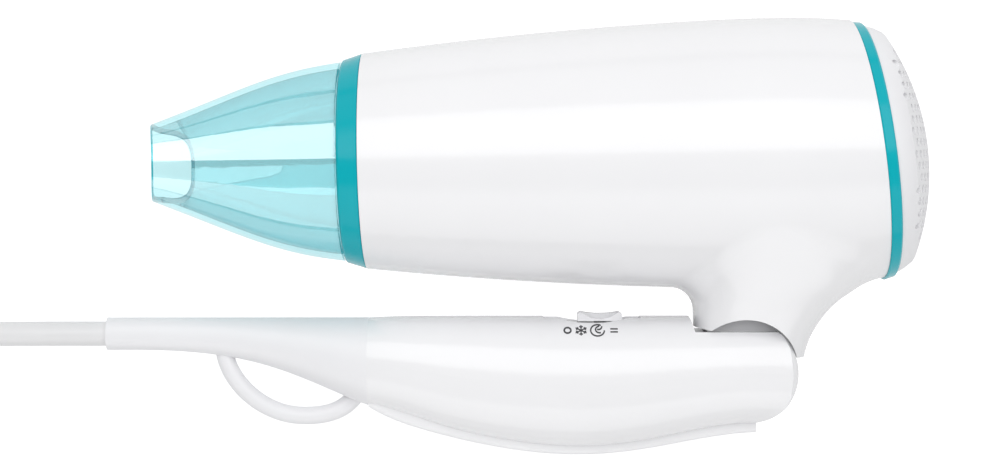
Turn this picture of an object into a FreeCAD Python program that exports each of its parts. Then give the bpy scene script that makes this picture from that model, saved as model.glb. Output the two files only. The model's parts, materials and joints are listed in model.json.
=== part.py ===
import FreeCAD
import Part
import math
import os

# Travel hair dryer, folded, lying on its right side on a table.
# Millimetres. +X is the rear (intake) end, +Y is away from the handle, +Z is up from the table.
# The whole dryer is symmetrical about the mid-plane z = MID, and the table is z = 0.

V = FreeCAD.Vector

# driving dimensions ------------------------------------------------------------------------
BARREL_R = 35.0            # largest radius of the barrel, which rests on the table
MID = BARREL_R + 0.03      # height of the mid-plane above the table
WALL = 2.2                 # barrel shell wall
SEAM = 0.08                # half of the hairline seam between left and right shells
FRONT_X, FRONT_Y = -39.3, 19.1   # front end of the barrel shells, on the barrel's axis
AXIS_TILT = 1.15           # degrees that the barrel's axis rises towards the rear
REAR_S = 129.8             # distance along the axis to the rear ring's seat
REAR_TILT = 6.6            # degrees between the rear ring's axis and the barrel's axis
RING_T = 2.9               # rear ring thickness
HINGE_X, HINGE_Y = 58.1, -35.3
DRUM_R = 13.5              # end of the handle, about the hinge
COVE_R = 13.85             # hollow in the neck that the drum turns in
TONGUE_R = 9.7
TONGUE_IN, TONGUE_OUT = 5.0, 9.0     # distances of the tongue's faces from the mid-plane
SLOT_HALF = 9.3            # half of the gap between the handle's cheeks
PIN_R = 3.5
PIN_CLEARANCE = 0.07
HANDLE_TOP = -21.1
HANDLE_END = -38.2         # seam between handle and strain relief
HANDLE_WALL = 2.0
FLAT_RISE = 10.5           # flat top of the cheeks above the hinge
STRIP_T = 3.2
TIP_RISE = 4.0             # the neck's tip above the hinge; it lands behind the palm strip's end when unfolded
BULKHEAD_Y = -19.4         # bottom of the hollow in the neck
NOZZLE_WALL = 1.6
MOUTH_S = -53.3            # nozzle mouth, along the barrel's axis
MOUTH_CROWN_R = 165.0      # the mouth's edge is an arc, so that its short ends stand back
FAN_R = 28.9
MOTOR_R = 13.85
CORD_R = 3.2
CORD_Y = -25.75            # height of the cord's exit, in the plane of the dryer
RELIEF_TIP = -106.2
COIL_X, COIL_Y = -252.0, 13.2
COIL_MIDDLE_R = 33.6       # middle turn of the stored coil
PLUG_Z = 13.0
PLUG_TURN = 13.0           # degrees that the plug lies turned from +X towards +Y
SWITCH_X = 21.45           # centre of the knob in its third position
SWITCH_STEP = 4.0
DIP_R, DIP_HALF, DIP_DEPTH = 34.3, 9.0, 1.6      # shallow hollow in the handle around the knob

BARREL = FreeCAD.Placement(V(FRONT_X, FRONT_Y, MID), FreeCAD.Rotation(V(0, 0, 1), AXIS_TILT))
REAR = BARREL.multiply(
    FreeCAD.Placement(V(REAR_S, 0, 0), FreeCAD.Rotation(V(0, 0, 1), REAR_TILT))
)
FLAT = FreeCAD.Placement(V(0, 0, MID), FreeCAD.Rotation())   # mid-plane frame, not tilted

# the barrel's outline: distance along the axis, radius
BARREL_OUTLINE = [(0, 27.95), (35, 31.5), (74, 34.1), (104, 35.0), (118, 34.7), (137, 32.3)]
# the neck, from its tip into the barrel: y, front x, rear x, half width, squareness
NECK = [
    (-38.0, 46.6, 73.4, 16.8, 2.7),
    (-31.0, 46.2, 74.3, 17.2, 2.7),
    (-26.0, 46.0, 76.0, 18.4, 2.6),
    (-21.0, 45.9, 79.2, 19.9, 2.5),
    (-16.5, 45.7, 83.8, 21.8, 2.4),
    (-13.0, 44.8, 89.0, 23.3, 2.3),
    (-8.5, 41.5, 93.5, 25.1, 2.2),
    (-2.0, 36.5, 96.0, 27.7, 2.1),
    (6.0, 32.0, 97.0, 30.9, 2.0),
]
NECK_BLEND = (20.0, 6.0)   # radius between neck and barrel at the rear and at the front
# the handle, from the strain relief to the drum: x, top y, bottom y, half width
HANDLE = [
    (-38.2, -21.5, -44.3, 12.0),
    (-20.0, HANDLE_TOP, -49.5, 14.4),
    (0.0, HANDLE_TOP, -53.7, 16.2),
    (18.0, HANDLE_TOP, -54.9, 17.0),
    (34.0, HANDLE_TOP, -53.2, 17.0),
    (46.0, HANDLE_TOP, -50.7, 17.0),
    (60.0, HANDLE_TOP, -48.9, 17.0),
    (76.0, HANDLE_TOP, -48.8, 17.0),
]
# the strain relief, from the tip to the handle: x, top y, bottom y, half width
RELIEF = [
    (-106.2, -21.5, -30.0, 4.25),
    (-92.0, -21.5, -30.1, 4.3),
    (-79.0, -21.5, -31.1, 4.9),
    (-69.0, -21.5, -32.9, 6.0),
    (-59.0, -21.5, -35.9, 7.8),
    (-48.6, -21.5, -40.1, 10.0),
    (-38.2, -21.5, -44.3, 12.0),
]
# the nozzle, from its collar end to its mouth: along the axis, half height, half width, squareness
NOZZLE = [
    (-5.9, 25.8, 25.8, 2.0),
    (-14.5, 24.4, 25.9, 2.05),
    (-24.9, 21.6, 26.9, 2.25),
    (-35.3, 17.6, 29.1, 2.5),
    (-45.7, 13.1, 31.9, 2.9),
    (MOUTH_S, 9.7, 34.0, 3.4),
]
# the belly line of the palm strip
STRIP_LINE = [(-38.1, -44.35), (-31.0, -47.9), (-22.0, -50.8), (-3.0, -55.0), (17.0, -56.6), (34.6, -54.9), (50, -52.1),
              (61.6, -50.9)]
# the cord's route to its coil: straight out, down to the table, on to the coil
CORD_ROUTE = [
    (RELIEF_TIP, CORD_Y, MID),
    (-130.0, CORD_Y, MID - 0.6),
    (-157.0, -26.6, 22.5),
    (-184.0, -28.0, 7.0),
    (-211.0, -27.6, CORD_R + 0.1),
    (-236.0, -26.2, CORD_R + 0.05),
    (COIL_X, COIL_Y - COIL_MIDDLE_R - 2 * CORD_R, CORD_R),
]
# the end of the cord, from the coil's top layer to the plug
TAIL_ROUTE = [
    (COIL_X, COIL_Y + COIL_MIDDLE_R + 2 * CORD_R, 16.0),
    (-241.4, 53.4, 15.4),
    (-231.2, 54.5, 14.2),
    (-221.4, 56.7, 13.0),
]


# shapes ------------------------------------------------------------------------------------
def polygon(points):
    """Flat face with these corners."""
    corners = [V(*p) for p in points]
    return Part.Face(Part.makePolygon(corners + corners[:1]))


def spline(points):
    """Smooth open edge through points."""
    curve = Part.BSplineCurve()
    curve.interpolate([V(*p) for p in points])
    return curve.toShape()


def turned(outline, start=0.0, turn=360.0):
    """Solid of revolution about local X. The outline is a closed list of (along, radius)."""
    face = polygon([(a, r, 0) for a, r in outline])
    return face.revolve(V(start, 0, 0), V(1, 0, 0), turn)


def turned_smooth(outline, last):
    """Solid of revolution under a smooth outline, closed down to local X."""
    top = spline([(a, r, 0) for a, r in outline])
    first = outline[0]
    ends = [(last, outline[-1][1], 0), (last, 0, 0), (first[0], 0, 0), (first[0], first[1], 0)]
    corners = [V(*p) for p in ends]
    sides = [Part.makeLine(a, b) for a, b in zip(corners, corners[1:]) if a.distanceToPoint(b) > 1e-6]
    return Part.Face(Part.Wire([top] + sides)).revolve(V(0, 0, 0), V(1, 0, 0), 360)


def rod(start, end, radius):
    """Round bar between two points."""
    a, b = V(*start), V(*end)
    return Part.makeCylinder(radius, (b - a).Length, a, b - a)


def upright(x, y, low, high, radius):
    """Round bar along Z, with its ends at distances from the mid-plane."""
    return Part.makeCylinder(radius, high - low, V(x, y, MID + low))


def block(x0, x1, y0, y1, z0, z1):
    """Box between limits, with z counted from the mid-plane."""
    return Part.makeBox(x1 - x0, y1 - y0, z1 - z0, V(x0, y0, MID + z0))


def plate(points, low, high):
    """Plate parallel to the mid-plane, between two distances from it."""
    return polygon([(x, y, MID + low) for x, y in points]).extrude(V(0, 0, high - low))


def pipe(low_s, high_s, inner, outer):
    """Tube about local X."""
    ring = rod((low_s, 0, 0), (high_s, 0, 0), outer)
    return ring.cut(rod((low_s - 1, 0, 0), (high_s + 1, 0, 0), inner))


def section(centre, across, up, square, count=24):
    """Closed rounded outline with two half axes. Squareness 2 is an ellipse."""
    points = []
    for i in range(count):
        c, s = math.cos(2 * math.pi * i / count), math.sin(2 * math.pi * i / count)
        size = (abs(c) ** square + abs(s) ** square) ** (-1 / square)
        points.append(V(*centre) + V(*across) * (c * size) + V(*up) * (s * size))
    curve = Part.BSplineCurve()
    curve.interpolate(points, True)
    return Part.Wire([curve.toShape()])


def lengthwise(rows, inset, square):
    """Loft along X through (x, top, bottom, half width) rows, made smaller all round by inset."""
    wires = []
    for x, top, bottom, half in rows:
        centre = (x, (top + bottom) / 2, MID)
        up = (0, (top - bottom) / 2 - inset, 0)
        wires.append(section(centre, (0, 0, half - inset), up, square))
    return Part.makeLoft(wires, True)


def neck_loft(rows, inset):
    """Loft along Y through (y, front x, rear x, half width, squareness) rows, made smaller all round by inset."""
    wires = []
    for y, front, rear, half, square in rows:
        along = ((rear - front) / 2 - inset, 0, 0)
        wires.append(section(((front + rear) / 2, y, MID), along, (0, 0, half - inset), square))
    return Part.makeLoft(wires, True)


def placed(shape, placement):
    """The shape moved from a local frame."""
    shape = shape.copy()
    shape.Placement = placement.multiply(shape.Placement)
    return shape


def half(shape, side):
    """The left (+1) or right (-1) half of a shell, short of the mid-plane by the seam."""
    low = SEAM if side > 0 else -80
    high = 80 if side > 0 else -SEAM
    return shape.common(block(-150, 150, -100, 100, low, high))


def fillet_radius(a, b, c):
    """Arc radius at b: 0.45 of the shorter run over the tangent of half the turn."""
    turn = (b - a).getAngle(c - b)
    return 0.45 * min((b - a).Length, (c - b).Length) / math.tan(turn / 2), turn


def rounded_path(points, name=""):
    """Straight runs joined by tangent arcs."""
    pts = [V(*p) for p in points]
    edges, here, radii = [], pts[0], []
    for a, b, c in zip(pts, pts[1:], pts[2:]):
        radius, turn = fillet_radius(a, b, c)
        back, on = (a - b).normalize(), (c - b).normalize()
        reach = radius * math.tan(turn / 2)
        start, end = b + back * reach, b + on * reach
        centre = b + (back + on).normalize() * (radius / math.cos(turn / 2))
        middle = centre + (b - centre).normalize() * radius
        edges += [Part.LineSegment(here, start).toShape(), Part.Arc(start, middle, end).toShape()]
        here = end
        radii.append(round(radius, 1))
    edges.append(Part.LineSegment(here, pts[-1]).toShape())
    if name:
        print(name, "radii", radii, "length", round(sum(e.Length for e in edges), 1))
    return Part.Wire(edges)


def swept(points, radius, name=""):
    """Round tube along a rounded path."""
    path = rounded_path(points, name)
    start = V(*points[0])
    ring = Part.Wire([Part.makeCircle(radius, start, V(*points[1]) - start)])
    solid = path.makePipeShell([ring], True, False)
    if name:
        print(name, "volume over section x length", round(solid.Volume / (math.pi * radius**2 * path.Length), 4))
    return solid


def screw(x, y, head_z, tip_z, radius, head_r):
    """Screw along Z with a domed head towards the table."""
    shank = upright(x, y, head_z, tip_z, radius)
    head = upright(x, y, head_z - 1.6, head_z, head_r)
    cross = block(x - 1.6, x + 1.6, y - 0.35, y + 0.35, head_z - 2, head_z - 0.8)
    cross = cross.fuse(block(x - 0.35, x + 0.35, y - 1.6, y + 1.6, head_z - 2, head_z - 0.8))
    return shank.fuse(head).cut(cross)


def save(shape, name):
    """Writes one sub-part."""
    shape = shape.removeSplitter() if shape.ShapeType != "Compound" else shape
    solids = shape.Solids
    if not all(s.isValid() for s in solids):
        print("not valid:", name)
    Part.makeCompound(solids).exportStep(f"parts/{name}.step")
    box = shape.optimalBoundingBox(False, False)
    print(f"{name:24s} {len(solids):3d} solids, volume {shape.Volume:9.1f}, "
          f"x {box.XMin:7.1f} {box.XMax:7.1f}  y {box.YMin:6.1f} {box.YMax:6.1f}  z {box.ZMin:5.1f} {box.ZMax:5.1f}")


# barrel ------------------------------------------------------------------------------------
BARREL_SCREWS = [(51.0, -15.2), (76.5, -15.4)]
CLAMP_SCREWS = (-6.8, 6.8)
HANDLE_SCREWS = [(-26.0, -42.5), (6.5, -49.5), (36.0, -46.0)]


def beyond_rear():
    """Everything behind the rear ring's seat."""
    return placed(Part.makeBox(60, 160, 160, V(0, -80, -80)), REAR)


def junction(body):
    """The edge where the neck's surface meets the barrel's."""
    kinds = {"Part::GeomBSplineSurface", "Part::GeomSurfaceOfRevolution"}
    return [e for e in body.Edges if {f.Surface.TypeId for f in body.ancestorsOfType(e, Part.Face)} == kinds]


def barrel_solid(side):
    """Left (+1) or right (-1) half of the outside of barrel and neck, with the cove for the handle's drum."""
    body = placed(turned_smooth(BARREL_OUTLINE, BARREL_OUTLINE[-1][0]), BARREL)
    body = body.fuse(neck_loft(NECK, 0)).common(block(-150, 150, -100, 100, 0, 80)).Solids[0]
    body = body.makeFillet(NECK_BLEND[0], NECK_BLEND[1], junction(body)).cut(beyond_rear())
    body = body.cut(upright(HINGE_X, HINGE_Y, -40, 40, COVE_R))
    below_front = plate([(30, -23.3), (44, -23.3), (49.5, -24.45), (58, -60), (30, -60)], -40, 40)
    below_rear = block(66, 90, -60, HINGE_Y + TIP_RISE, -40, 40)
    body = body.cut(below_front).cut(below_rear)
    return body if side > 0 else body.mirror(V(0, 0, MID), V(0, 0, 1))


def barrel_hollow():
    """The inside of barrel and neck, down to the bulkhead above the cove."""
    inner = [(s, r - WALL) for s, r in BARREL_OUTLINE]
    inner = [(-2, inner[0][1] - 0.2)] + inner[1:]
    tube = placed(turned_smooth(inner, inner[-1][0]), BARREL)
    neck = neck_loft(NECK, WALL).common(block(0, 120, BULKHEAD_Y, 20, -60, 60))
    return tube.fuse(neck)


def tongue(side):
    """Half of the hinge tongue: a disc with a bore, its web, and the part that joins the neck."""
    low, high = (TONGUE_IN, TONGUE_OUT) if side > 0 else (-TONGUE_OUT, -TONGUE_IN)
    disc = upright(HINGE_X, HINGE_Y, low, high, TONGUE_R)
    web = block(HINGE_X - 9.3, HINGE_X + 9.3, HINGE_Y + 1, BULKHEAD_Y - 0.2, low, high)
    return disc.fuse(web).cut(upright(HINGE_X, HINGE_Y, -20, 20, PIN_R + PIN_CLEARANCE))


def barrel_shell(side):
    """One barrel moulding with its half of the neck, the tongue and the screw bosses."""
    solid = barrel_solid(side)
    shell = solid.cut(barrel_hollow())
    shell = shell.cut(block(HINGE_X - 4, HINGE_X + 6, -30, -15, -TONGUE_IN, TONGUE_IN))
    for x, y in BARREL_SCREWS:
        shell = shell.fuse(upright(x, y, -18, 18, 3.0).common(solid))
    shell = half(shell, side).fuse(tongue(side))
    for x, y in BARREL_SCREWS:
        if side > 0:
            shell = shell.cut(upright(x, y, -1, 9, 1.2))
        else:
            shell = shell.cut(upright(x, y, -40, -8, 2.8)).cut(upright(x, y, -40, 1, 1.5))
    return shell


def barrel_screws():
    return Part.makeCompound([screw(x, y, -8.0, 8.0, 1.2, 2.5) for x, y in BARREL_SCREWS])


def front_ring():
    outline = [(-5.6, 24.6), (-5.2, 26.1), (-4.9, 26.35), (-0.4, 27.8), (-0.1, 27.6), (-0.1, 24.0), (-2.1, 24.0),
               (-2.1, 24.95), (-3.3, 24.95), (-3.3, 24.0), (-5.2, 24.0)]
    return placed(turned(outline), BARREL)


def snap_ring():
    ring = pipe(-3.15, -2.25, 23.75, 24.85)
    return placed(ring.cut(Part.makeBox(4, 10, 3, V(-5, 20, -1.5))), BARREL)


def outlet_grille():
    grille = pipe(0.3, 3.3, 23.8, 25.3)
    for radius in (7.0, 12.5, 18.0):
        grille = grille.fuse(pipe(0.8, 2.8, radius - 0.6, radius + 0.6))
    for i in range(8):
        spoke = Part.makeBox(2.0, 17.6, 1.2, V(0.8, 6.6, -0.6))
        spoke.rotate(V(0, 0, 0), V(1, 0, 0), 45 * i + 22.5)
        grille = grille.fuse(spoke)
    return placed(grille, BARREL)


def rear_ring():
    outline = [(0.05, 30.4), (0.05, 33.5), (0.35, 33.75), (2.5, 33.35), (RING_T, 32.95), (RING_T, 30.4)]
    return placed(turned(outline), REAR)


def dome(inset):
    """Solid under the intake grille's skin: a rounded shoulder and a shallow dome."""
    h, r = RING_T, 32.5 - inset
    shoulder = Part.Arc(V(h, r, 0), V(h + 2.9, r - 1.15, 0), V(h + 4.8 - inset * 0.6, r - 2.4, 0)).toShape()
    far = 12.5 + RING_T - inset
    near = V(h + 4.8 - inset * 0.6, r - 2.4, 0)
    rise = far - near.x
    big = (near.y**2 + rise**2) / (2 * rise)
    mid_y = near.y * 0.55
    middle = V(far - big + math.sqrt(big**2 - mid_y**2), mid_y, 0)
    crown = Part.Arc(near, middle, V(far, 0, 0)).toShape()
    lines = [Part.makeLine(V(far, 0, 0), V(h, 0, 0)), Part.makeLine(V(h, 0, 0), V(h, r, 0))]
    return Part.Face(Part.Wire([shoulder, crown] + lines)).revolve(V(0, 0, 0), V(1, 0, 0), 360)


def intake_grille():
    """Domed grille with rows of round holes, and the skirt that it snaps in with."""
    pitch, row_pitch, field, hole_r = 3.4, 2.9, 30.1, 1.0
    shell = dome(0).cut(dome(1.5)).fuse(pipe(0.4, RING_T + 1.0, 28.9, 30.2).fuse(pipe(RING_T, RING_T + 1, 28.9, 31.6)))
    holes = []
    for row in range(-10, 11):
        for column in range(-10, 11):
            y, z = row * row_pitch, (column + 0.5 * (row % 2)) * pitch
            if math.hypot(y, z) < field:
                holes.append(rod((RING_T + 3, y, z), (20, y, z), hole_r))
    return placed(shell.cut(Part.makeCompound(holes)), REAR)


def lint_screen():
    return placed(pipe(1.0, 1.5, 3.0, 28.6), REAR)


def mica_cross():
    """Two crossed boards, notched where the heater coils pass."""
    boards = Part.makeBox(52, 43, 1, V(10, -21.5, -0.5)).fuse(Part.makeBox(52, 1, 43, V(10, -0.5, -21.5)))
    boards = boards.cut(Part.makeCompound([heater_coil(i, 1.35) for i in range(6)]))
    return placed(boards, BARREL)


def heater_coil(i, radius):
    return Part.makeTorus(18.0, radius, V(16 + 8 * i, 0, 0), V(1, 0, 0))


def heater_coils():
    return placed(Part.makeCompound([heater_coil(i, 1.2) for i in range(6)]), BARREL)


def mica_liner():
    return placed(pipe(8, 64, 23.3, 23.8), BARREL)


def thermostat():
    body = Part.makeBox(12, 6, 8, V(30, 0.9, 0.9))
    return placed(body.fuse(Part.makeBox(18, 0.6, 5, V(28, 6.9, 2.4))), BARREL)


def thermal_fuse():
    return placed(rod((44, -4, 4), (55, -4, 4), 2.0), BARREL)


def motor_duct():
    """Tube round the fan, with a cup for the motor on seven stator vanes, notched for the leads."""
    duct = pipe(76, 122, 29.8, 31.0)
    cup = pipe(78, 104, MOTOR_R + 0.1, 15.3)
    for i in range(7):
        vane = Part.makeBox(20, 15.2, 1.2, V(-10, 15.0, -0.6))
        vane.rotate(V(0, 0, 0), V(0, 1, 0), 18)
        vane.translate(V(92, 0, 0))
        vane.rotate(V(0, 0, 0), V(1, 0, 0), 360 / 7 * i)
        duct = duct.fuse(vane)
    duct = duct.fuse(cup).cut(Part.makeBox(25, 12, 8, V(75, -33, -4)))
    return placed(duct.cut(Part.makeBox(26, 6, 3.4, V(77, -22, -1.7))), BARREL)


def motor_can():
    can = rod((76.5, 0, 0), (108, 0, 0), MOTOR_R).fuse(rod((75, 0, 0), (109.4, 0, 0), 4.0))
    return placed(can.cut(rod((70, 0, 0), (115, 0, 0), 1.08)), BARREL)


def motor_shaft():
    return placed(rod((74.4, 0, 0), (119.5, 0, 0), 1.0), BARREL)


def fan_impeller():
    """Hub with a nose and seven pitched blades, bored for the shaft."""
    fan = turned([(110, 0), (110, 11), (118, 11), (121, 8), (122, 4), (122.3, 0)])
    rim = pipe(100, 130, 9.0, FAN_R)
    for i in range(7):
        blade = Part.makeBox(16, 22, 1.3, V(-8, 9.5, -0.65))
        blade.rotate(V(0, 0, 0), V(0, 1, 0), 52)
        blade.translate(V(115.4, 0, 0))
        blade.rotate(V(0, 0, 0), V(1, 0, 0), 360 / 7 * i)
        fan = fan.fuse(blade.common(rim))
    return placed(fan.cut(rod((100, 0, 0), (119.5, 0, 0), 1.0)), BARREL)


def rectifier_board():
    return placed(pipe(71.6, 72.8, 5.0, 12.5), BARREL)


def diodes():
    bodies = [rod((70.2, y, z), (70.2, y + 5, z), 1.35) for y, z in ((5, -3), (5, 3), (-10, -3), (-10, 3))]
    return placed(Part.makeCompound(bodies), BARREL)


def barrel_leads():
    """Two insulated leads from the hinge axis up the neck and forward to the heater."""
    route = [(HINGE_X, HINGE_Y + 1.6), (HINGE_X, -15.0), (51.5, -8.4), (38, -7.6), (33, 2)]
    return Part.makeCompound([swept([(x, y, MID + z) for x, y in route], 1.1) for z in (-1.3, 1.3)])


# nozzle ------------------------------------------------------------------------------------
def nozzle_loft(inset, stretch=0.0):
    wires = []
    for s, half_y, half_z, square in NOZZLE:
        s = s - stretch if s == MOUTH_S else s
        s = s + stretch if s == NOZZLE[0][0] else s
        wires.append(section((s, 0, 0), (0, 0, half_z - inset), (0, half_y - inset, 0), square, 48))
    return Part.makeLoft(wires, True)


def concentrator():
    """Clear nozzle: a round collar that blends into a wide flat mouth with an arched edge."""
    shell = nozzle_loft(0).cut(nozzle_loft(NOZZLE_WALL, 0.4))
    crown = rod((MOUTH_S + MOUTH_CROWN_R, -40, 0), (MOUTH_S + MOUTH_CROWN_R, 40, 0), MOUTH_CROWN_R)
    shell = shell.common(crown)
    collar = pipe(-6.6, -0.6, 22.2, 23.6).fuse(pipe(-6.6, -5.9, 22.2, 25.0))
    return placed(shell.fuse(collar), BARREL)


# handle ------------------------------------------------------------------------------------
def rel(points):
    """Points given from the hinge axis."""
    return [(HINGE_X + x, HINGE_Y + y) for x, y in points]


def handle_solid():
    """The outside of the handle, with its drum end, the flat over the cheeks and the strip's channel."""
    body = lengthwise(HANDLE, 0, 2.5)
    ends = [(14.2, DRUM_R), (15.9, DRUM_R - 0.6), (17.2, DRUM_R - 2.0)]
    drum = turned([(-17.2, 0)] + [(-s, r) for s, r in ends[::-1]] + ends + [(17.2, 0)])
    drum.rotate(V(0, 0, 0), V(0, 1, 0), 90)
    drum.translate(V(HINGE_X, HINGE_Y, MID))
    body = body.common(drum.fuse(block(-60, HINGE_X, -70, -10, -30, 30)))
    above = plate(rel([(-13.6, 20), (-13.6, HANDLE_TOP - HINGE_Y), (-12.6, FLAT_RISE), (25, FLAT_RISE), (25, 20)]), -30, 30)
    return body.cut(above).cut(palm_strip())


def handle_hollow():
    """The inside of the handle, up to the drum."""
    rows = [(max(x, HANDLE_END + 1.7), top, bottom + STRIP_T - 0.6, half_z) for x, top, bottom, half_z in HANDLE[:6]]
    return lengthwise(rows, HANDLE_WALL, 2.5).common(block(-60, 42, -70, 0, -30, 30))


def hinge_slot():
    """The space between the cheeks that the tongue turns in."""
    box = plate(rel([(-9.7, -9.7), (30, -9.7), (30, 22), (-9.7, 22)]), -SLOT_HALF, SLOT_HALF)
    return box.fuse(upright(HINGE_X, HINGE_Y, -SLOT_HALF, SLOT_HALF, TONGUE_R + 0.4))


def palm_strip():
    """Soft strip along the back of the handle, set into both shells."""
    outer = [V(x, y, MID - 6.5) for x, y in STRIP_LINE]
    inner = [p + V(0, STRIP_T, 0) for p in outer]
    edges = [spline(outer), Part.makeLine(outer[-1], inner[-1]), spline(inner), Part.makeLine(inner[0], outer[0])]
    strip = Part.Face(Part.Wire(edges)).extrude(V(0, 0, 13))
    low = [e for e in strip.Edges if abs(e.BoundBox.ZLength) < 0.01 and e.BoundBox.XLength > 50
           and e.BoundBox.YMin < -56]
    return strip.makeFillet(1.1, low)


def switch_window():
    """The dip in the top of the handle, the knob's track in it, and the slot that the knob's stem slides in."""
    track = block(6.8, 32.0, HANDLE_TOP - 1.3, -10, -5.3, 5.3)
    dip_x, dip_y = SWITCH_X - SWITCH_STEP / 2, HANDLE_TOP - DIP_DEPTH + DIP_R
    dip = upright(dip_x, dip_y, -DIP_HALF, DIP_HALF, DIP_R)
    return track.fuse(dip).fuse(block(10.0, 29.0, HANDLE_TOP - 4, -10, -1.7, 1.7))


def relief_hole():
    return rod((HANDLE_END - 1, -33.0, MID), (HANDLE_END + 3, -33.0, MID), 5.05)


def handle_shell(side):
    """One handle moulding: walls, cheek with its pin hole, and the screw bosses."""
    solid = handle_solid()
    shell = solid.cut(handle_hollow()).cut(hinge_slot())
    shell = shell.cut(block(38, HINGE_X, HINGE_Y - 4, HINGE_Y + 4, -4, 4))
    for x, y in HANDLE_SCREWS:
        shell = shell.fuse(upright(x, y, -16, 16, 3.0).common(solid))
    shell = shell.cut(switch_window()).cut(relief_hole())
    shell = half(shell, side)
    pin = upright(HINGE_X, HINGE_Y, TONGUE_IN, 13.5, PIN_R)
    shell = shell.cut(pin if side > 0 else pin.mirror(V(0, 0, MID), V(0, 0, 1)))
    for x, y in HANDLE_SCREWS:
        if side > 0:
            shell = shell.cut(upright(x, y, -1, 7, 1.2))
        else:
            shell = shell.cut(upright(x, y, -40, -6.5, 2.8)).cut(upright(x, y, -40, 1, 1.5))
    return shell


def handle_screws():
    return Part.makeCompound([screw(x, y, -6.5, 6.5, 1.2, 2.5) for x, y in HANDLE_SCREWS])


def hinge_pins():
    pin = upright(HINGE_X, HINGE_Y, TONGUE_IN + 0.2, 13.5, PIN_R)
    return Part.makeCompound([pin, pin.mirror(V(0, 0, MID), V(0, 0, 1))])


def hinge_washers():
    low = TONGUE_OUT + 0.05
    washer = upright(HINGE_X, HINGE_Y, low, low + 0.2, 7.0).cut(upright(HINGE_X, HINGE_Y, 0, 20, PIN_R + 0.05))
    return Part.makeCompound([washer, washer.mirror(V(0, 0, MID), V(0, 0, 1))])


def switch_body():
    body = block(6, 33, -37, -27.2, -6, 6)
    return body.cut(block(8, 31, -28.6, -20, -4.2, 4.2))


def switch_terminals():
    tabs = [block(10 + 6 * i, 12.4 + 6 * i, -42, -37, -0.4, 0.4) for i in range(4)]
    return Part.makeCompound(tabs)


def switch_slider():
    """Contact carrier under the knob, with the post that the knob is pressed on."""
    carrier = block(SWITCH_X - 4.5, SWITCH_X + 4.5, -28.3, -25.6, -3.9, 3.9)
    return carrier.fuse(block(SWITCH_X - 1.2, SWITCH_X + 1.2, -25.6, -24.2, -1.2, 1.2))


def switch_knob():
    """Thumb knob with raised ends and a scoop on each side, on a stem through the slot."""
    x0, x1, base, crest = SWITCH_X - 5.72, SWITCH_X + 5.72, HANDLE_TOP - 1.15, HANDLE_TOP + 1.15
    points = [V(x0, base, MID - 5), V(x1, base, MID - 5), V(x1, crest - 0.5, MID - 5), V(x1 - 0.7, crest, MID - 5),
              V(x0 + 0.7, crest, MID - 5), V(x0, crest - 0.5, MID - 5)]
    scoop = Part.Arc(points[3], V(SWITCH_X, crest - 0.45, MID - 5), points[4]).toShape()
    lines = [Part.makeLine(a, b) for a, b in zip(points[:3], points[1:4])]
    lines += [scoop, Part.makeLine(points[4], points[5]), Part.makeLine(points[5], points[0])]
    knob = Part.Face(Part.Wire(lines)).extrude(V(0, 0, 10))
    for z in (MID - 7.3, MID + 7.3):
        knob = knob.cut(Part.makeSphere(7.3, V(SWITCH_X, crest + 5.1, z)))
    return knob.fuse(block(SWITCH_X - 1.5, SWITCH_X + 1.5, -24.2, base, -1.45, 1.45))


def capacitor():
    box = block(-15, 3, -45.5, -31, -4.5, 4.5)
    return box.makeFillet(0.8, box.Edges)


def cord_sheath():
    """The cord's outer sheath inside the handle, held by the clamp."""
    return rod((HANDLE_END + 5.2, -33.0, MID), (-18.5, -33.0, MID), CORD_R)


def cord_clamp():
    bar = block(-28.5, -23.5, -30.6, -28.0, -9, 9).cut(cord_sheath())
    for z in CLAMP_SCREWS:
        bar = bar.cut(rod((-26, -25, MID + z), (-26, -35, MID + z), 1.15))
    return bar


def clamp_screws():
    ends = [rod((-26, -26.8, MID + z), (-26, -35.5, MID + z), 1.1) for z in CLAMP_SCREWS]
    heads = [rod((-26, -28.0, MID + z), (-26, -26.6, MID + z), 2.1) for z in CLAMP_SCREWS]
    return Part.makeCompound([a.fuse(b) for a, b in zip(ends, heads)])


def handle_leads():
    """Two insulated leads from the switch to the hinge axis."""
    route = [(28.0, -43.4), (38, -41.0), (46, HINGE_Y - 0.2), (HINGE_X - 1.6, HINGE_Y)]
    return Part.makeCompound([swept([(x, y, MID + z) for x, y in route], 1.1) for z in (-1.3, 1.3)])


# cord --------------------------------------------------------------------------------------
def strain_relief():
    """Tapered cord guard with the hanging loop under it and the flange that the shells hold."""
    body = lengthwise(RELIEF, 0, 2.5)
    line = [(-76.2, -28.5), (-74.7, -34.6), (-70.9, -40.1), (-65.8, -44.1), (-59.7, -46.5), (-53.5, -47.0),
            (-47.2, -45.8), (-41.6, -41.2)]
    path = Part.Wire([spline([(x, y, MID) for x, y in line])])
    start = V(line[0][0], line[0][1], MID)
    ring = Part.Wire([Part.makeCircle(2.3, start, path.Edges[0].tangentAt(path.Edges[0].FirstParameter))])
    loop = path.makePipeShell([ring], True, False)
    spigot = rod((HANDLE_END - 2, -33.0, MID), (HANDLE_END + 4.2, -33.0, MID), 5.0)
    flange = rod((HANDLE_END + 2.0, -33.0, MID), (HANDLE_END + 5.2, -33.0, MID), 7.0)
    return body.fuse(loop).fuse(spigot).fuse(flange)


def cord_tube():
    return swept(CORD_ROUTE, CORD_R, "cord_tube")


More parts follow.
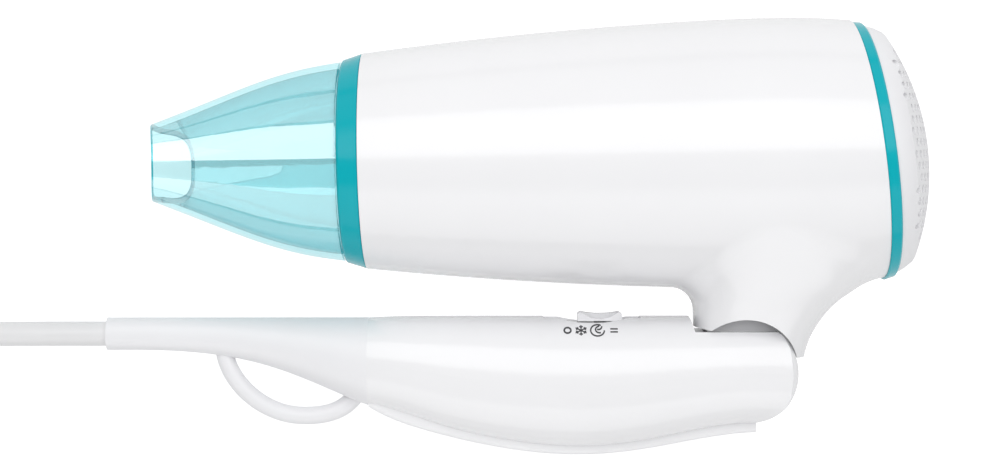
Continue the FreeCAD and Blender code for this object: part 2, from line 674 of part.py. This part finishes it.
def cord_coil():
    """Outer shape of the stored coil: two layers of three turns and one turn and a half on top."""
    step = 2 * CORD_R
    inner, outer = COIL_MIDDLE_R - 1.5 * step, COIL_MIDDLE_R + 1.5 * step
    c = CORD_R * 0.6
    outline = [(0, inner + c), (c, inner), (2 * step, inner), (2 * step + c, inner + c), (3 * step - c, inner + 2 * c),
               (3 * step, inner + 3 * c), (3 * step, outer - c), (3 * step - c, outer), (c, outer), (0, outer - c)]
    ring = turned(outline)
    ring.rotate(V(0, 0, 0), V(0, 1, 0), -90)
    ring.translate(V(COIL_X, COIL_Y, 0))
    return ring


def cord_tail():
    return swept(TAIL_ROUTE, CORD_R, "cord_tail")


def in_plug(shape):
    """The shape moved from the plug's own frame, with local X out along the pins."""
    turn = FreeCAD.Rotation(V(0, 0, 1), PLUG_TURN)
    return placed(shape, FreeCAD.Placement(V(TAIL_ROUTE[-1][0], TAIL_ROUTE[-1][1], PLUG_Z), turn))


def plug_body():
    """Two-pin moulded plug with a ribbed neck, lying flat."""
    rows = [(0, 4.6, 4.6, 2.0), (8, 4.9, 4.9, 2.0), (15, 5.6, 5.5, 2.0), (21, 7.6, 7.0, 2.1), (27, 11.0, 9.2, 2.3),
            (33, 14.6, 11.2, 2.6), (39, 16.8, 12.2, 3.0), (45, 17.4, 12.5, 3.3), (52, 17.5, 12.6, 3.4), (58, 17.5, 12.6, 3.4)]
    wires = [section((x, 0, 0), (0, half_y, 0), (0, 0, half_z), square) for x, half_y, half_z, square in rows]
    body = Part.makeLoft(wires, True)
    for i in range(3):
        body = body.cut(pipe(3 + 4 * i, 4.4 + 4 * i, 4.1, 9))
    return in_plug(body)


def plug_pins():
    """Round pins 19 mm apart."""
    pins = []
    for y in (-9.5, 9.5):
        pin = rod((58, y, 0), (76.2, y, 0), 2.4)
        pins.append(in_plug(pin.fuse(Part.makeCone(2.4, 1.5, 0.8, V(76.2, y, 0), V(1, 0, 0)))))
    return Part.makeCompound(pins)


# all sub-parts -----------------------------------------------------------------------------
NODES = {
    "barrel_shell_left": lambda: barrel_shell(1),
    "barrel_shell_right": lambda: barrel_shell(-1),
    "barrel_screws": barrel_screws,
    "front_ring": front_ring,
    "outlet_grille": outlet_grille,
    "rear_ring": rear_ring,
    "intake_grille": intake_grille,
    "lint_screen": lint_screen,
    "mica_cross": mica_cross,
    "mica_liner": mica_liner,
    "heater_coils": heater_coils,
    "thermostat": thermostat,
    "thermal_fuse": thermal_fuse,
    "motor_duct": motor_duct,
    "motor_can": motor_can,
    "rectifier_board": rectifier_board,
    "diodes": diodes,
    "barrel_leads": barrel_leads,
    "motor_shaft": motor_shaft,
    "fan_impeller": fan_impeller,
    "nozzle_snap_ring": snap_ring,
    "concentrator": concentrator,
    "handle_shell_left": lambda: handle_shell(1),
    "handle_shell_right": lambda: handle_shell(-1),
    "handle_screws": handle_screws,
    "palm_strip": palm_strip,
    "hinge_pins": hinge_pins,
    "hinge_washers": hinge_washers,
    "switch_body": switch_body,
    "switch_terminals": switch_terminals,
    "switch_slider": switch_slider,
    "switch_knob": switch_knob,
    "suppression_capacitor": capacitor,
    "cord_sheath": cord_sheath,
    "cord_clamp": cord_clamp,
    "clamp_screws": clamp_screws,
    "handle_leads": handle_leads,
    "strain_relief": strain_relief,
    "cord_tube": cord_tube,
    "cord_coil": cord_coil,
    "cord_tail": cord_tail,
    "plug_body": plug_body,
    "plug_pins": plug_pins,
}

os.makedirs("parts", exist_ok=True)
for node, make in NODES.items():
    save(make(), node)
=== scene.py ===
import json
import math

import bmesh
import bpy
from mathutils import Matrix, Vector
from mathutils.bvhtree import BVHTree


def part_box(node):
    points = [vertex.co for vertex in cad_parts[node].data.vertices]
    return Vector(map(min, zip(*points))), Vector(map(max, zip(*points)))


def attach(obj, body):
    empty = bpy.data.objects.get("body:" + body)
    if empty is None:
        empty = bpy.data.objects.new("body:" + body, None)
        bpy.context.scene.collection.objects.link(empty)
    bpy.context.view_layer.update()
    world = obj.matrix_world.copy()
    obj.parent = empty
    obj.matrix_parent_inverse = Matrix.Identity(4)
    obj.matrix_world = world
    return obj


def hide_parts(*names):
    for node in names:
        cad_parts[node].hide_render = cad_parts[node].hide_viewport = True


# Travel hair dryer, folded, lying on its side. Metres, in the frame of the CAD model.
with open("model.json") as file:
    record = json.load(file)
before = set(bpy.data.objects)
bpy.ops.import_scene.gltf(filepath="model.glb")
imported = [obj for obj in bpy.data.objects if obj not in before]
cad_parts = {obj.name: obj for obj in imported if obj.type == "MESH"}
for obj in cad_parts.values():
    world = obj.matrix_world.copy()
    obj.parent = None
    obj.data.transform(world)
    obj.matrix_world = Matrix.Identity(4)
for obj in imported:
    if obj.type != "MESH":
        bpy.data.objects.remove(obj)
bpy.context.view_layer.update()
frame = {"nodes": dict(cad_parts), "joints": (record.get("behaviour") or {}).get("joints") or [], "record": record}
nodes = frame["nodes"]
MM = 0.001

joint = {j["name"]: j for j in frame["joints"]}
MID = Vector(joint["handle_fold"]["pos_m"]).z    # height of the dryer's mid-plane above the table
AXIS = -Vector(joint["nozzle_swivel"]["axis"])   # the barrel's axis, towards the rear


def link(name, data):
    """A new object in the scene."""
    made = bpy.data.objects.new(name, data)
    bpy.context.scene.collection.objects.link(made)
    return made


# camera ------------------------------------------------------------------------------------
VIEW_HEIGHT = 0.572                 # above the mid-plane
VIEW_WIDTH = 0.2587                 # what the frame takes in at the mid-plane
VIEW_CENTRE = Vector((0.0055, 0.0012))
VIEW_SHIFT = -0.0407                # in frame widths
SENSOR_WIDTH = 36
CLIP_NEAR, CLIP_FAR = 0.02, 10


def make_camera():
    data = bpy.data.cameras.new("camera")
    data.sensor_width = SENSOR_WIDTH
    data.lens = SENSOR_WIDTH * VIEW_HEIGHT / VIEW_WIDTH
    data.shift_x = VIEW_SHIFT
    data.clip_start, data.clip_end = CLIP_NEAR, CLIP_FAR
    camera = link("camera", data)
    camera.location = (VIEW_CENTRE.x, VIEW_CENTRE.y, MID + VIEW_HEIGHT)
    bpy.context.scene.camera = camera


make_camera()

# cord --------------------------------------------------------------------------------------
CORD_R = 3.2 * MM
CORD_ROUTE = [                      # from the strain relief down to the coil
    (-0.1062, -0.02575, 0.03503),
    (-0.1300, -0.02575, 0.03443),
    (-0.1570, -0.0266, 0.0225),
    (-0.1840, -0.0280, 0.0070),
    (-0.2110, -0.0276, 0.0033),
    (-0.2360, -0.0262, 0.00325),
]
TAIL_ROUTE = [                      # from the coil to the plug
    (-0.2414, 0.0534, 0.0154),
    (-0.2312, 0.0545, 0.0142),
    (-0.2214, 0.0567, 0.0130),
]
COIL = Vector((-0.252, 0.0132))
COIL_MIDDLE_R = 33.6 * MM
# where each turn starts, in cord widths outwards of the middle radius and above the table
COIL_TURNS = [(1, 0), (0, 0), (-1, 0), (-1, 1), (0, 1), (1, 1), (-0.5, 2)]
TOP_TURNS = 1.5                     # the last of them winds this far, outwards
JOG_FROM = 0.82                     # part of a turn after which the cord moves over to the next
POINTS_PER_TURN = 16
CURVE_SEGMENTS = 6                  # between two points
BEVEL_RESOLUTION = 8                # gives the cord 20 sides


def smooth(t):
    t = min(max(t, 0.0), 1.0)
    return t * t * (3 - 2 * t)


def coil_points():
    """Clockwise from the lead-in at the bottom: inwards, back outwards, and once more on top."""
    turns = []
    for i in range((len(COIL_TURNS) - 1) * POINTS_PER_TURN):
        turn, part = divmod(i / POINTS_PER_TURN, 1)
        jog = smooth((part - JOG_FROM) / (1 - JOG_FROM))
        here, after = COIL_TURNS[int(turn)], COIL_TURNS[int(turn) + 1]
        turns.append([a + (b - a) * jog for a, b in zip(here, after)])
    outwards, up = COIL_TURNS[-1]
    for i in range(int(TOP_TURNS * POINTS_PER_TURN) + 1):
        turns.append([outwards + i / POINTS_PER_TURN, up])
    spread = 1 / math.cos(math.pi / POINTS_PER_TURN) ** 0.5     # the curve runs inside its points
    made = []
    for i, (outwards, up) in enumerate(turns):
        angle = math.radians(-90) - 2 * math.pi * i / POINTS_PER_TURN
        r = (COIL_MIDDLE_R + outwards * 2 * CORD_R) * spread
        z = CORD_R + up * 2 * CORD_R
        made.append((COIL.x + r * math.cos(angle), COIL.y + r * math.sin(angle), z))
    return made


def make_cord():
    points = CORD_ROUTE + coil_points() + TAIL_ROUTE
    curve = bpy.data.curves.new("mains_cord", "CURVE")
    curve.dimensions = "3D"
    line = curve.splines.new("NURBS")
    line.points.add(len(points) - 1)
    for point, place in zip(line.points, points):
        point.co = (*place, 1)
        point.radius = CORD_R
    line.order_u = 3
    line.use_endpoint_u = True
    line.resolution_u = CURVE_SEGMENTS
    curve.bevel_depth = 1.0         # times each point's radius
    curve.bevel_resolution = BEVEL_RESOLUTION
    curve.use_fill_caps = True
    cord = link("mains_cord", curve)
    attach(cord, "handle")
    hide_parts("cord_tube", "cord_coil", "cord_tail")
    return cord


cord = make_cord()

# materials ---------------------------------------------------------------------------------
NOISE_LOW, NOISE_HIGH = 0.3, 0.7    # the part of a noise's values that is used
BUMP_DISTANCE = 0.05 * MM
BUMP_PER_DEPTH = 25
MOTTLE_SCALE = 35.0
COAT_ROUGHNESS = 0.12
METAL_GRAIN = 400.0
METAL_BUMP = 0.15
CLEAR_GRAIN = 500.0
CLEAR_MOTTLE = 40.0
CLEAR_SHADE = 0.985
CLEAR_SLANT = 0.3                   # how soon a slanting wall tints more
CLEAR_BACK_MIRROR = 0.06            # what the far side of a wall mirrors
MATERIALS = {}                      # each by the name it was asked for


def new_material(name):
    material = bpy.data.materials.new(name)
    material.use_nodes = True
    MATERIALS[name] = material
    tree = material.node_tree
    return tree, tree.nodes["Principled BSDF"]


def paint(piece, material):
    piece.data.materials.clear()
    piece.data.materials.append(MATERIALS[material])


def noise(tree, scale, detail):
    """Noise on the object's own coordinates."""
    place = tree.nodes.new("ShaderNodeTexCoord")
    node = tree.nodes.new("ShaderNodeTexNoise")
    node.inputs["Scale"].default_value = scale
    node.inputs["Detail"].default_value = detail
    tree.links.new(place.outputs["Object"], node.inputs["Vector"])
    return node.outputs["Fac"]


def ranged(tree, value, low, high):
    """Noise stretched to run from low to high."""
    node = tree.nodes.new("ShaderNodeMapRange")
    node.inputs["From Min"].default_value = NOISE_LOW
    node.inputs["From Max"].default_value = NOISE_HIGH
    node.inputs["To Min"].default_value = low
    node.inputs["To Max"].default_value = high
    tree.links.new(value, node.inputs["Value"])
    return node.outputs["Result"]


def tinted(tree, value, dark, light):
    """Noise turned into colours between dark and light."""
    node = tree.nodes.new("ShaderNodeValToRGB")
    low, high = node.color_ramp.elements
    low.position, high.position = NOISE_LOW, NOISE_HIGH
    low.color, high.color = (*dark, 1), (*light, 1)
    tree.links.new(value, node.inputs["Fac"])
    return node.outputs["Color"]


def shaded(colour, share):
    return tuple(c * share for c in colour)


def bumped(tree, shader, height, strength):
    node = tree.nodes.new("ShaderNodeBump")
    node.inputs["Strength"].default_value = strength
    node.inputs["Distance"].default_value = BUMP_DISTANCE
    tree.links.new(height, node.inputs["Height"])
    tree.links.new(node.outputs["Normal"], shader.inputs["Normal"])


def plastic(name, colour, roughness, grain=900.0, grain_depth=0.004, coat=0.0, specular=0.5,
            sheen=0.0, shade=0.96):
    """Moulded plastic: faint mottling, a fine surface grain and slightly uneven gloss."""
    tree, shader = new_material(name)
    wide = noise(tree, MOTTLE_SCALE, 3.0)
    fine = noise(tree, grain, 2.0)
    base = tinted(tree, wide, shaded(colour, shade), colour)
    gloss = ranged(tree, fine, roughness * 0.9, roughness * 1.1)
    tree.links.new(base, shader.inputs["Base Color"])
    tree.links.new(gloss, shader.inputs["Roughness"])
    bumped(tree, shader, fine, grain_depth * BUMP_PER_DEPTH)
    shader.inputs["Coat Weight"].default_value = coat
    shader.inputs["Coat Roughness"].default_value = COAT_ROUGHNESS
    shader.inputs["Specular IOR Level"].default_value = specular
    shader.inputs["Sheen Weight"].default_value = sheen


def metal(name, colour, roughness):
    tree, shader = new_material(name)
    fine = noise(tree, METAL_GRAIN, 5.0)
    base = tinted(tree, fine, shaded(colour, 0.85), colour)
    gloss = ranged(tree, fine, roughness * 0.8, roughness * 1.3)
    tree.links.new(base, shader.inputs["Base Color"])
    tree.links.new(gloss, shader.inputs["Roughness"])
    shader.inputs["Metallic"].default_value = 1.0
    bumped(tree, shader, fine, METAL_BUMP)


def arithmetic(tree, operation, first, second):
    node = tree.nodes.new("ShaderNodeMath")
    node.operation = operation
    for socket, value in zip(node.inputs, (first, second)):
        if isinstance(value, float):
            socket.default_value = value
        else:
            tree.links.new(value, socket)
    return node.outputs["Value"]


def clear_plastic(name, through, edge, mirror_ior):
    """Thin clear tinted wall.

    Each surface tints what is seen through it, more so at a slant, and mirrors a little.
    """
    tree, shader = new_material(name)
    tree.nodes.remove(shader)
    clear = tree.nodes.new("ShaderNodeBsdfTransparent")
    shine = tree.nodes.new("ShaderNodeBsdfGlossy")
    shine.inputs["Color"].default_value = (1, 1, 1, 1)
    gloss = ranged(tree, noise(tree, CLEAR_GRAIN, 2.0), 0.03, 0.06)
    tree.links.new(gloss, shine.inputs["Roughness"])

    slant = tree.nodes.new("ShaderNodeLayerWeight")
    slant.inputs["Blend"].default_value = CLEAR_SLANT
    thin = tinted(tree, noise(tree, CLEAR_MOTTLE, 2.0), shaded(through, CLEAR_SHADE), through)
    tint = tree.nodes.new("ShaderNodeMix")
    tint.data_type = "RGBA"         # its colour sockets are inputs 6 and 7 and output 2
    tree.links.new(slant.outputs["Facing"], tint.inputs[0])
    tree.links.new(thin, tint.inputs[6])
    tint.inputs[7].default_value = (*edge, 1)
    tree.links.new(tint.outputs[2], clear.inputs["Color"])

    fresnel = tree.nodes.new("ShaderNodeFresnel")
    fresnel.inputs["IOR"].default_value = mirror_ior
    back = tree.nodes.new("ShaderNodeNewGeometry").outputs["Backfacing"]
    front = arithmetic(tree, "SUBTRACT", 1.0, back)
    mirror_front = arithmetic(tree, "MULTIPLY", fresnel.outputs["Fac"], front)
    mirror_back = arithmetic(tree, "MULTIPLY", CLEAR_BACK_MIRROR, back)
    mirror = arithmetic(tree, "ADD", mirror_front, mirror_back)
    both = tree.nodes.new("ShaderNodeMixShader")
    tree.links.new(mirror, both.inputs["Fac"])
    tree.links.new(clear.outputs["BSDF"], both.inputs[1])
    tree.links.new(shine.outputs["BSDF"], both.inputs[2])
    tree.links.new(both.outputs["Shader"], tree.nodes["Material Output"].inputs["Surface"])


plastic("shell_white", (0.87, 0.87, 0.885), 0.22, coat=0.5, shade=0.985)
plastic("ring_teal", (0.0, 0.42, 0.49), 0.16, coat=0.05, specular=0.22)
plastic("grille_white", (0.84, 0.84, 0.86), 0.32, grain=1500, shade=0.98)
clear_plastic("nozzle_clear", (0.71, 0.905, 0.925), (0.58, 0.86, 0.89), 2.8)
clear_plastic("nozzle_edge", (0.28, 0.72, 0.76), (0.16, 0.60, 0.65), 1.5)
plastic("knob_white", (0.85, 0.85, 0.87), 0.25, coat=0.3, shade=0.98)
plastic("strip_white", (0.88, 0.88, 0.895), 0.42, grain=1800, grain_depth=0.01, shade=0.97)
plastic("relief_white", (0.84, 0.84, 0.86), 0.35, grain=1500, grain_depth=0.008, shade=0.97)
plastic("cord_white", (0.80, 0.80, 0.81), 0.38, grain=2200, grain_depth=0.01, sheen=0.1,
        shade=0.95)
plastic("plug_white", (0.80, 0.80, 0.82), 0.38, grain=1400, grain_depth=0.012, shade=0.96)
metal("pin_metal", (0.80, 0.78, 0.73), 0.22)
metal("screw_steel", (0.62, 0.62, 0.63), 0.3)
metal("motor_steel", (0.55, 0.55, 0.57), 0.38)
plastic("hinge_plastic", (0.72, 0.72, 0.70), 0.4)
plastic("duct_plastic", (0.05, 0.05, 0.055), 0.4)
plastic("heat_plastic", (0.045, 0.045, 0.05), 0.45)
plastic("mica", (0.50, 0.43, 0.31), 0.5, grain=300, grain_depth=0.03, shade=0.7)
metal("heater_wire", (0.45, 0.42, 0.38), 0.4)
metal("thermostat_metal", (0.75, 0.6, 0.3), 0.35)
metal("fuse_body", (0.7, 0.7, 0.7), 0.3)
plastic("board", (0.03, 0.18, 0.08), 0.4, shade=0.8)
plastic("component_black", (0.03, 0.03, 0.03), 0.4)
plastic("capacitor_yellow", (0.7, 0.42, 0.04), 0.35)
plastic("lead_insulation", (0.75, 0.75, 0.75), 0.45)
plastic("screen_mesh", (0.30, 0.30, 0.31), 0.6)
plastic("symbol_grey", (0.06, 0.06, 0.065), 0.5, shade=0.8)

slot_of = {s["node"]: s["material_slot"] for s in frame["record"]["subparts"]}
for name, node in nodes.items():
    paint(node, slot_of[name])
paint(cord, "cord_white")

# nozzle rim --------------------------------------------------------------------------------
RIM_T = 0.45 * MM
RIM_GAP = 0.03 * MM
RIM_ARCH = 4.5 * MM                 # how far the arched edge stands back at its ends
RIM_FACING = -0.9                   # its faces look forwards at least this much


def make_rim():
    """The cut edge of the clear nozzle at its mouth, where the tint gathers."""
    source = nodes["concentrator"].data
    mouth = min(v.co.dot(AXIS) for v in source.vertices)
    mesh = bmesh.new()
    mesh.from_mesh(source)
    others = [f for f in mesh.faces if f.normal.dot(AXIS) > RIM_FACING
              or f.calc_center_median().dot(AXIS) > mouth + RIM_ARCH]
    bmesh.ops.delete(mesh, geom=others, context="FACES")
    for vertex in mesh.verts:
        vertex.co -= AXIS * RIM_GAP
    data = bpy.data.meshes.new("nozzle_rim")
    mesh.to_mesh(data)
    mesh.free()
    rim = link("nozzle_rim", data)
    thick = rim.modifiers.new("edge", "SOLIDIFY")
    thick.thickness = RIM_T
    thick.offset = -1
    paint(rim, "nozzle_edge")
    for clear in (rim, nodes["concentrator"]):
        clear.visible_shadow = False        # a thin clear wall leaves next to no shadow
    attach(rim, "nozzle")


make_rim()

# symbols beside the switch -----------------------------------------------------------------
INK_T = 0.03 * MM
INK_LIFT = 0.03 * MM
SQUASH = 0.78                       # the printed signs are lower than wide
SIGN_PITCH = 3.95 * MM
SIGN_Y = -24.35 * MM
THIRD_SIGN = -0.8 * MM              # along the handle from the knob's middle
ARM_FORK, TWIG, TWIG_TURN = 0.55, 0.36, 50   # of a snowflake's arm, and in degrees
BAR_HALF, BAR_APART = 0.95 * MM, 0.36 * MM
ABOVE_ALL = 0.2                     # higher than any piece
SAME_PLACE = 1e-7


def surface_over(node):
    """Height of a node's highest surface over a point."""
    mesh = nodes[node].data
    tree = BVHTree.FromPolygons([v.co for v in mesh.vertices], [p.vertices for p in mesh.polygons])
    return lambda x, y: tree.ray_cast(Vector((x, y, ABOVE_ALL)), Vector((0, 0, -1)))[0].z


def strokes(name, lines, width, height_at):
    """Thin printed strokes along polylines, laid on the handle's surface under them."""
    mesh = bmesh.new()
    for line in lines:
        closed = (Vector(line[0]) - Vector(line[-1])).length < SAME_PLACE
        first_before = line[-2] if closed else line[0]
        last_after = line[1] if closed else line[-1]
        rows = []
        for point, before, after in zip(line, [first_before] + line[:-1], line[1:] + [last_after]):
            along = (Vector(after) - Vector(before)).normalized()
            side = Vector((-along.y, along.x)) * width / 2
            ends = [Vector(point) + side, Vector(point) - side]
            rows.append([mesh.verts.new((e.x, e.y, height_at(e.x, e.y) + INK_LIFT)) for e in ends])
        for a, b in zip(rows, rows[1:]):
            mesh.faces.new((a[0], a[1], b[1], b[0]))
    data = bpy.data.meshes.new(name)
    bmesh.ops.recalc_face_normals(mesh, faces=mesh.faces)
    mesh.to_mesh(data)
    mesh.free()
    piece = link(name, data)
    thick = piece.modifiers.new("ink", "SOLIDIFY")
    thick.thickness = INK_T
    thick.offset = 0
    paint(piece, "symbol_grey")
    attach(piece, "handle")


def around(x, y, radius, angle):
    """The point at an angle on a low oval."""
    return x + radius * math.cos(angle), y + SQUASH * radius * math.sin(angle)


def oval(x, y, radius, start=0.0, turn=360.0, count=28):
    """Points on an arc of a low oval."""
    points = [around(x, y, radius, math.radians(start + turn * i / count)) for i in range(count + 1)]
    if turn == 360.0:
        points[-1] = points[0]
    return points


def straight(x0, y0, x1, y1, count=6):
    return [(x0 + (x1 - x0) * i / count, y0 + (y1 - y0) * i / count) for i in range(count + 1)]


def snowflake(x, y, radius):
    lines = []
    for i in range(6):
        angle = math.radians(60 * i + 30)
        lines.append(straight(x, y, *around(x, y, radius, angle)))
        fork = around(x, y, radius * ARM_FORK, angle)
        for turn in (-TWIG_TURN, TWIG_TURN):
            twig = around(*fork, radius * TWIG, angle + math.radians(turn))
            lines.append(straight(*fork, *twig, 2))
    return lines


def symbols():
    """Off, cool, eco and full, from the front to the rear, a little off an even pitch."""
    height_at = surface_over("handle_shell_left")
    knob_low, knob_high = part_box("switch_knob")
    third = (knob_low.x + knob_high.x) / 2 + THIRD_SIGN
    fourth = third + 1.07 * SIGN_PITCH
    off = [oval(third - 1.93 * SIGN_PITCH, SIGN_Y, 0.85 * MM)]
    cool = snowflake(third - 1.06 * SIGN_PITCH, SIGN_Y, 1.6 * MM)
    eco = [
        oval(third, SIGN_Y, 1.75 * MM, 60, 300, 24),
        oval(third + 0.5 * MM, SIGN_Y + 0.2 * MM, 1.0 * MM, 90, 200, 14),
        oval(third + 0.2 * MM, SIGN_Y + 0.9 * MM, 0.9 * MM, 250, 120, 10),
    ]
    full = [straight(fourth - BAR_HALF, SIGN_Y + d, fourth + BAR_HALF, SIGN_Y + d)
            for d in (-BAR_APART, BAR_APART)]
    strokes("symbol_off", off, 0.42 * MM, height_at)
    strokes("symbol_cool", cool, 0.3 * MM, height_at)
    strokes("symbol_eco", eco, 0.36 * MM, height_at)
    strokes("symbol_full", full, 0.34 * MM, height_at)


symbols()

# floor and light ---------------------------------------------------------------------------
FLOOR_SIZE = 3
GLOW_SEEN = 0.8                     # keeps shadows off the sheet
GLOW_ON_OBJECT = 0.35               # what it throws back up on the dryer
WORLD_LIGHT = 0.36
OVERHEAD_Y = 0.435                  # beyond the dryer, so that the box shows on its far side


def light_table():
    """White acrylic sheet lit softly from below."""
    tree, shader = new_material("light_table")
    base = tinted(tree, noise(tree, 3.0, 2.0), (0.49, 0.49, 0.49), (0.5, 0.5, 0.5))
    tree.links.new(base, shader.inputs["Base Color"])
    shader.inputs["Roughness"].default_value = 0.9
    shader.inputs["Specular IOR Level"].default_value = 0.0
    shader.inputs["Emission Color"].default_value = (1, 1, 1, 1)
    path = tree.nodes.new("ShaderNodeLightPath")
    glow = tree.nodes.new("ShaderNodeMapRange")
    glow.inputs["To Min"].default_value = GLOW_ON_OBJECT
    glow.inputs["To Max"].default_value = GLOW_SEEN
    tree.links.new(path.outputs["Is Camera Ray"], glow.inputs["Value"])
    tree.links.new(glow.outputs["Result"], shader.inputs["Emission Strength"])


def make_floor():
    mesh = bmesh.new()
    bmesh.ops.create_grid(mesh, x_segments=2, y_segments=2, size=FLOOR_SIZE)
    data = bpy.data.meshes.new("floor")
    mesh.to_mesh(data)
    mesh.free()
    floor = link("floor", data)
    paint(floor, "light_table")


def area_light(name, place, size, power, target):
    data = bpy.data.lights.new(name, "AREA")
    data.shape = "RECTANGLE"
    data.size, data.size_y = size
    data.energy = power
    light = link(name, data)
    light.location = place
    light.rotation_euler = (Vector(target) - Vector(place)).to_track_quat("-Z", "Y").to_euler()


def make_light():
    """Even light, a soft box over the far edge, a weak one low beyond it, one on the near side."""
    world = bpy.data.worlds.new("studio")
    world.use_nodes = True
    background = world.node_tree.nodes["Background"]
    background.inputs["Color"].default_value = (1, 1, 1, 1)
    background.inputs["Strength"].default_value = WORLD_LIGHT
    bpy.context.scene.world = world
    dryer = (0, 0, 0.035)
    area_light("overhead", (0.0, OVERHEAD_Y, 0.9), (1.8, 0.8), 8.4, (0, OVERHEAD_Y, 0))
    area_light("far_side", (0.0, 0.82, 0.4), (1.6, 0.6), 1.5, dryer)
    area_light("near_side", (0.0, -0.75, 0.5), (1.8, 0.9), 4.3, dryer)
    bpy.context.scene.view_settings.view_transform = "Standard"


light_table()
make_floor()
make_light()
